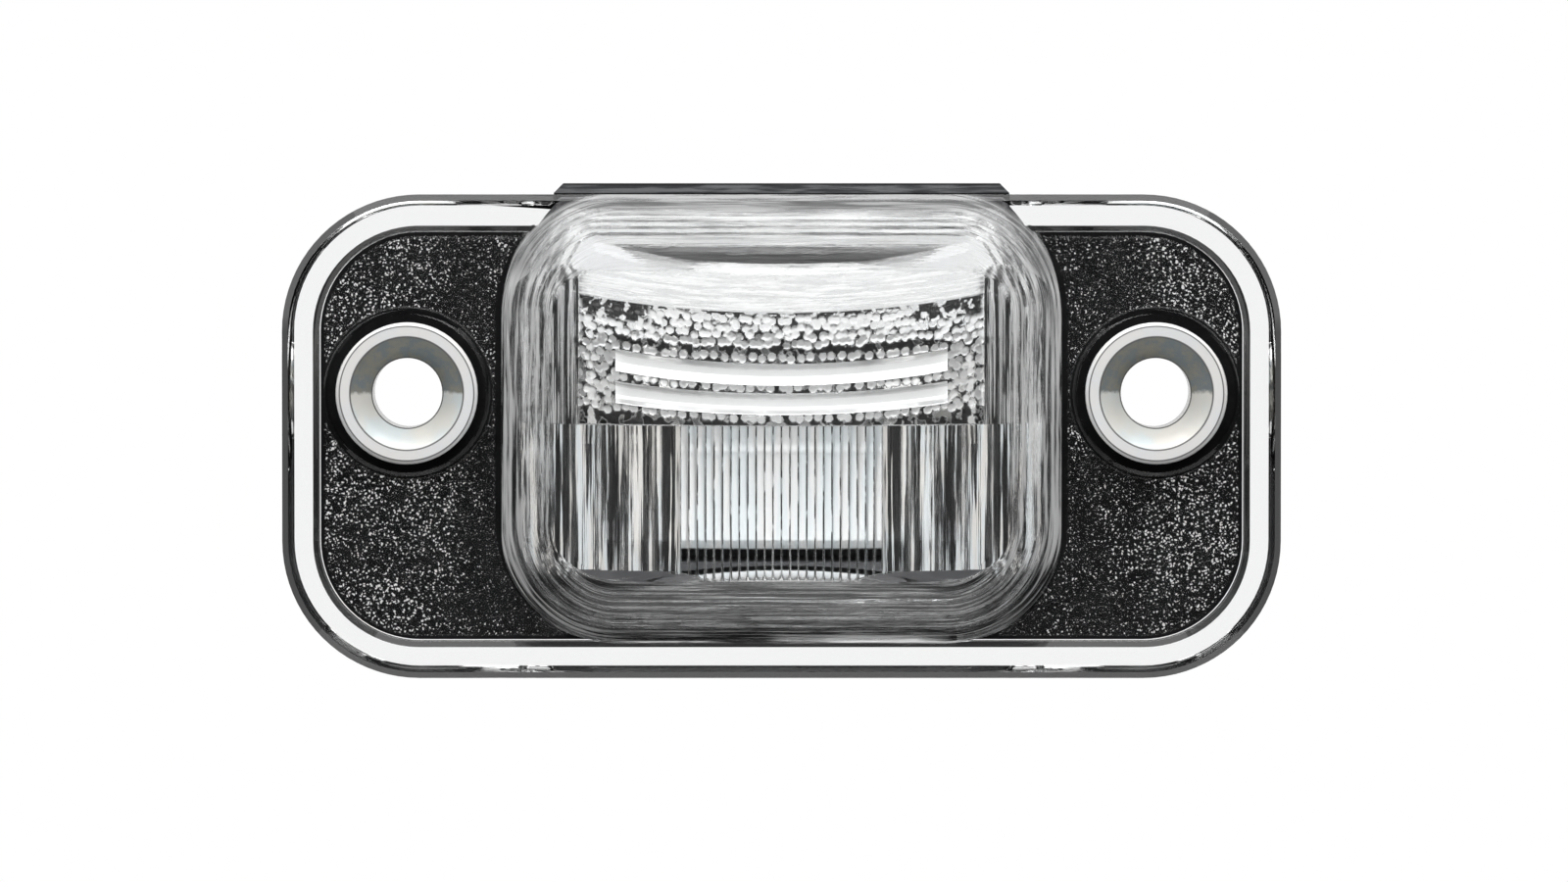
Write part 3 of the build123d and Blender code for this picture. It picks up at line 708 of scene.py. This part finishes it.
def black_rubber():
    """Black grained rubber, lighter grey in streaks on the tongue that stands above the flange."""
    material, tree, output = new_material("black_rubber")
    z, place = millimetres(tree)[2:]
    patches = ramp(tree, noise(tree, place, 0.6, 3.0), 0.35, 0.65)
    color = blend(tree, patches, (0.005, 0.005, 0.006, 1), (0.010, 0.010, 0.011, 1))
    tongue_streaks = ramp(tree, noise(tree, stretched(tree, place, (0.25, 1.0, 4.0)), 1.0, 3.0), 0.4, 0.6)
    tongue_grey = blend(tree, tongue_streaks, (0.05, 0.052, 0.055, 1), (0.16, 0.165, 0.17, 1))
    tongue = between(tree, z, FLANGE_TOP + 0.05, FLANGE_TOP + TONGUE_RISE - 0.07, 0.1)
    grain = noise(tree, place, 4.0, 4.0, 0.6)
    inputs = {
        "Base Color": blend(tree, tongue, color, tongue_grey),
        "Specular IOR Level": 0.12,
        "Roughness": ramp(tree, grain, 0.3, 0.7, 0.5, 0.75),
        "Normal": bumped(tree, product(tree, grain, 0.03)),
    }
    opaque(tree, output, inputs)
    return material


def bulb_glass():
    """Clear glass with a faint haze that varies."""
    material, tree, output = new_material("bulb_glass")
    place = millimetres(tree)[3]
    inputs = {
        "Base Color": (0.99, 0.99, 0.99, 1),
        "Roughness": ramp(tree, noise(tree, place, 0.4, 3.0), 0.4, 0.7, 0.0, 0.06),
        "IOR": 1.15,
        "Transmission Weight": 1.0,
    }
    see_through(tree, output, inputs)
    return material


def plain_finish(name, colors, patch, metallic, roughness, relief, stretch):
    """An opaque finish: two colours in soft patches, and fine relief that also varies the gloss."""
    material, tree, output = new_material(name)
    place = millimetres(tree)[3]
    first, second = colors
    patches = ramp(tree, noise(tree, place, patch, 3.0), 0.35, 0.65)
    fine = noise(tree, stretched(tree, place, stretch), 1.0, 4.0, 0.6)
    inputs = {
        "Base Color": blend(tree, patches, (*first, 1), (*second, 1)),
        "Metallic": metallic,
        "Roughness": ramp(tree, fine, 0.3, 0.7, *roughness),
        "Normal": bumped(tree, product(tree, fine, relief)),
    }
    opaque(tree, output, inputs)
    return material


finishes = {
    "clear_plastic": clear_plastic(),
    "black_rubber": black_rubber(),
    "zinc_steel": zinc_steel(),
    "bright_sheet": bright_sheet(),
    "bulb_glass": bulb_glass(),
    "tray_plastic": plain_finish(
        "tray_plastic",
        colors=((0.085, 0.085, 0.09), (0.115, 0.115, 0.12)),
        patch=0.3,
        metallic=0.0,
        roughness=(0.4, 0.55),
        relief=0.012,
        stretch=(6.0, 6.0, 6.0),
    ),
    "spring_strip": plain_finish(
        "spring_strip",
        colors=((0.84, 0.84, 0.83), (0.78, 0.78, 0.76)),
        patch=0.4,
        metallic=0.6,
        roughness=(0.35, 0.5),
        relief=0.004,
        stretch=(0.3, 0.3, 6.0),
    ),
    "rivet_metal": plain_finish(
        "rivet_metal",
        colors=((0.80, 0.70, 0.48), (0.70, 0.58, 0.38)),
        patch=0.5,
        metallic=1.0,
        roughness=(0.25, 0.4),
        relief=0.006,
        stretch=(3.0, 3.0, 3.0),
    ),
    "cap_metal": plain_finish(
        "cap_metal",
        colors=((0.84, 0.84, 0.82), (0.76, 0.76, 0.74)),
        patch=0.4,
        metallic=1.0,
        roughness=(0.14, 0.26),
        relief=0.004,
        stretch=(6.0, 0.2, 0.2),
    ),
    "wire_metal": plain_finish(
        "wire_metal",
        colors=((0.40, 0.40, 0.42), (0.30, 0.30, 0.32)),
        patch=0.8,
        metallic=1.0,
        roughness=(0.3, 0.45),
        relief=0.004,
        stretch=(0.4, 8.0, 8.0),
    ),
}
slot_of = {row["node"]: row["material_slot"] for row in frame["record"]["subparts"]}
for name, piece in nodes.items():
    piece.data.materials.clear()
    piece.data.materials.append(finishes[slot_of[name]])


def outline_step(x, z):
    """Distance outside the flange's outline, and the direction away from its middle, at a place."""
    across = max(abs(x) - FLANGE_WIDTH / 2 + FLANGE_CORNER, 0.0)
    up = max(abs(z - FLANGE_MIDDLE) - FLANGE_HEIGHT / 2 + FLANGE_CORNER, 0.0)
    away = hypot(across, up)
    if away == 0.0:
        return -FLANGE_CORNER, 0.0, 0.0
    return away - FLANGE_CORNER, copysign(across, x) / away, copysign(up, z - FLANGE_MIDDLE) / away


def on_outline(vertex):
    """True for a vertex on the flange's outline."""
    x, _, z = vertex.co / MM
    return abs(outline_step(x, z)[0]) < ON_SURFACE


def cut(form, faces, place, direction):
    """Cut faces along a plane, and give the faces that this leaves."""
    edges = {edge for face in faces for edge in face.edges}
    corners = {vertex for face in faces for vertex in face.verts}
    geometry = [*faces, *edges, *corners]
    result = bmesh.ops.bisect_plane(
        form, geom=geometry, dist=CUT_DISTANCE, plane_co=place, plane_no=direction
    )
    return [item for item in result["geom"] if isinstance(item, bmesh.types.BMFace)]


def chamfer_back(form):
    """Chamfer the edge between the flange's outline and its back."""
    side = [face for face in form.faces if abs(face.normal.y) < 0.5 and all(map(on_outline, face.verts))]
    cut(form, side, (0, -(FLANGE_BACK + BACK_CHAMFER) * MM, 0), (0, 1, 0))
    for vertex in form.verts:
        x, y, z = vertex.co / MM
        if abs(y + FLANGE_BACK) > ON_SURFACE or not on_outline(vertex):
            continue
        across, up = outline_step(x, z)[1:]
        vertex.co.x -= across * BACK_CHAMFER * MM
        vertex.co.z -= up * BACK_CHAMFER * MM


def is_field(face):
    """True for a face of the plain inner front, above the flutes."""
    if abs(face.normal.z) > 0.5:
        return False
    for vertex in face.verts:
        x, y, z = vertex.co / MM
        if abs(hypot(x, y - INNER_AXIS) - INNER_RADIUS) > ON_SURFACE:
            return False
        if z < FLUTE_TOP - ON_SURFACE:
            return False
    return True


def row_bow(x):
    """How far a row of the field has risen at x."""
    return (INNER_RADIUS - sqrt(INNER_RADIUS**2 - x**2)) * tan(radians(ROW_TILT))


def spread(pitch, shift):
    """Places across the field, one pitch apart."""
    count = int(FIELD_HALF_WIDTH / pitch) + 1
    return [(index + shift) * pitch for index in range(-count, count + 1)]


def pillow_rows():
    """Height of each row, and the centres and rises of its pillows, each a little out of its place."""
    draw = Random(PILLOW_SEED)
    rows = []
    for level in STUD_ROWS:
        studs = [x + draw.uniform(-1, 1) * PILLOW_JITTER * STUD_PITCH for x in spread(STUD_PITCH, 0.0)]
        row = [(x, level + draw.uniform(-1, 1) * STUD_LIFT, draw.uniform(STUD_LEAST, 1.0)) for x in studs]
        rows.append((level, [stud for stud in row if abs(stud[0]) < BARS_END]))
    level = BARS_LOW
    while level < PILLOWS_END + PILLOW_PITCH:
        row = []
        for x in spread(PILLOW_PITCH, 0.5 * (len(rows) % 2)):
            across = x + draw.uniform(-1, 1) * PILLOW_JITTER * PILLOW_PITCH
            up = level + draw.uniform(-1, 1) * PILLOW_JITTER * PILLOW_PITCH
            share = draw.uniform(PILLOW_LEAST, 1.0)
            if level > PILLOWS_START or abs(x) > BARS_END:
                row.append((across, up, share))
        rows.append((level, row))
        level += PILLOW_PITCH
    return rows


def pillow_height(rows, x, z):
    """Height of the pillowed surface at a place in the field."""
    level = z - row_bow(x)
    best = 0.0
    for row_level, row in rows:
        if abs(level - row_level) > 2 * PILLOW_PITCH:
            continue
        for across, up, share in row:
            if abs(x - across) > PILLOW_PITCH:
                continue
            fall = ((x - across) ** 2 + (level - up) ** 2) / (PILLOW_REACH * PILLOW_PITCH) ** 2
            best = max(best, share * (1 - fall**PILLOW_EDGE))
    fade = min(1.0, max(0.0, (PILLOWS_END - level) / (0.5 * PILLOW_PITCH)))
    return PILLOW_RISE * best * fade


def press_pillows(form):
    """Cut the plain inner field into a fine grid and press the pillows into it."""
    field = [face for face in form.faces if is_field(face)]
    step = PILLOW_PITCH / PILLOW_SAMPLES
    field_high = PILLOWS_END + row_bow(FIELD_HALF_WIDTH)
    level = FIELD_LOW
    while level < field_high:
        field = cut(form, field, (0, 0, level * MM), (0, 0, 1))
        level += step
    across = -FIELD_HALF_WIDTH
    while across < FIELD_HALF_WIDTH + step:
        field = cut(form, field, (across * MM, 0, 0), (1, 0, 0))
        across += step

    edge_count = {}
    for face in field:
        for edge in face.edges:
            edge_count[edge] = edge_count.get(edge, 0) + 1
    rim = {vertex for edge, count in edge_count.items() if count == 1 for vertex in edge.verts}
    inner = {vertex for face in field for vertex in face.verts} - rim
    rows = pillow_rows()
    for vertex in inner:
        x, y, z = vertex.co / MM
        if not FIELD_LOW < z < field_high or abs(x) > FIELD_HALF_WIDTH:
            continue
        radius = hypot(x, y - INNER_AXIS)
        scale = (radius - pillow_height(rows, x, z)) / radius
        vertex.co.x = x * scale * MM
        vertex.co.y = (INNER_AXIS + (y - INNER_AXIS) * scale) * MM


def moulded_lens():
    """Put a copy of the lens in its place, with its back edge chamfered and its inner field pillowed."""
    mesh = nodes["lens"].data.copy()
    mesh.name = "lens_moulding"
    form = bmesh.new()
    form.from_mesh(mesh)
    chamfer_back(form)
    press_pillows(form)
    form.to_mesh(mesh)
    form.free()
    mesh.shade_smooth()
    mesh.set_sharp_from_angle(angle=radians(SHARP_ANGLE))
    mesh.materials.clear()
    mesh.materials.append(finishes["clear_plastic"])
    piece = bpy.data.objects.new("lens_moulding", mesh)
    bpy.context.scene.collection.objects.link(piece)
    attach(piece, "root")
    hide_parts("lens")


moulded_lens()


def area_light(name, place, power, width, height):
    """A rectangular lamp that looks at the middle of the object."""
    data = bpy.data.lights.new(name, "AREA")
    data.shape = "RECTANGLE"
    data.size = width * MM
    data.size_y = height * MM
    data.energy = power
    lamp = bpy.data.objects.new(name, data)
    bpy.context.scene.collection.objects.link(lamp)
    lamp.location = Vector(place) * MM
    lamp.rotation_euler = (-lamp.location).to_track_quat("-Z", "Y").to_euler()


area_light("overhead", place=(0, -100, 600), power=1.7, width=800, height=600)
area_light("softbox", place=(0, -445, 460), power=4.6, width=1100, height=416)

# Pale floor, out of the photograph's view
floor_mesh = bpy.data.meshes.new("floor")
half = FLOOR_SIZE * MM / 2
floor_corners = [(-half, -half, 0), (half, -half, 0), (half, half, 0), (-half, half, 0)]
floor_mesh.from_pydata(floor_corners, [], [(0, 1, 2, 3)])
floor = bpy.data.objects.new("floor", floor_mesh)
floor.location.z = cad_low[2] - FLOOR_DROP * MM
bpy.context.scene.collection.objects.link(floor)
floor_mesh.materials.append(
    plain_finish(
        "pale_floor",
        colors=((0.78, 0.78, 0.78), (0.82, 0.82, 0.82)),
        patch=0.01,
        metallic=0.0,
        roughness=(0.6, 0.8),
        relief=0.05,
        stretch=(0.5, 0.5, 0.5),
    )
)


def studio_world():
    """White for the camera, a white backdrop behind the lamp, dim at the sides and dark in front."""
    world = bpy.data.worlds.new("studio")
    world.use_nodes = True
    tree = world.node_tree
    tree.nodes.clear()
    output = add(tree, "OutputWorld")
    split = add(tree, "SeparateXYZ", {0: add(tree, "TexCoord").outputs["Generated"]})
    back = split.outputs["Y"]
    sides = ramp(tree, back, -0.2, 0.3, FRONT_SHADE, SIDE_SHADE)
    backdrop = ramp(tree, back, BACKDROP_EDGE, BACKDROP_FULL, 0.0, BACK_WHITE - SIDE_SHADE)
    overhead = ramp(tree, math(tree, "ABSOLUTE", back), CEILING_REACH, 0.8 * CEILING_REACH)
    ceiling = product(tree, overhead, CEILING_WHITE, ramp(tree, split.outputs["Z"], 0.0, 0.1))
    surroundings = add(tree, "Background", {"Color": total(tree, sides, backdrop, ceiling)})
    white = add(tree, "Background", {"Color": (1, 1, 1, 1)})
    path = add(tree, "LightPath")
    shares = {0: path.outputs["Is Camera Ray"], 1: surroundings.outputs[0], 2: white.outputs[0]}
    mix = add(tree, "MixShader", shares)
    tree.links.new(mix.outputs[0], output.inputs["Surface"])
    bpy.context.scene.world = world


studio_world()

# Camera at the photograph's angle
camera_data = bpy.data.cameras.new("camera")
camera = bpy.data.objects.new("camera", camera_data)
bpy.context.scene.collection.objects.link(camera)
bpy.context.scene.camera = camera
camera_data.sensor_width = SENSOR_WIDTH
camera_data.lens = SENSOR_WIDTH * PIXELS_PER_MM * CAMERA_DISTANCE / PHOTO_WIDTH
camera_data.clip_start = 0.01
elevation = radians(CAMERA_ELEVATION)
toward_camera = Vector((0, -cos(elevation), sin(elevation)))
camera.location = AIM + toward_camera * CAMERA_DISTANCE * MM
camera.rotation_euler = (-toward_camera).to_track_quat("-Z", "Y").to_euler()

bpy.context.scene.view_settings.view_transform = "Standard"
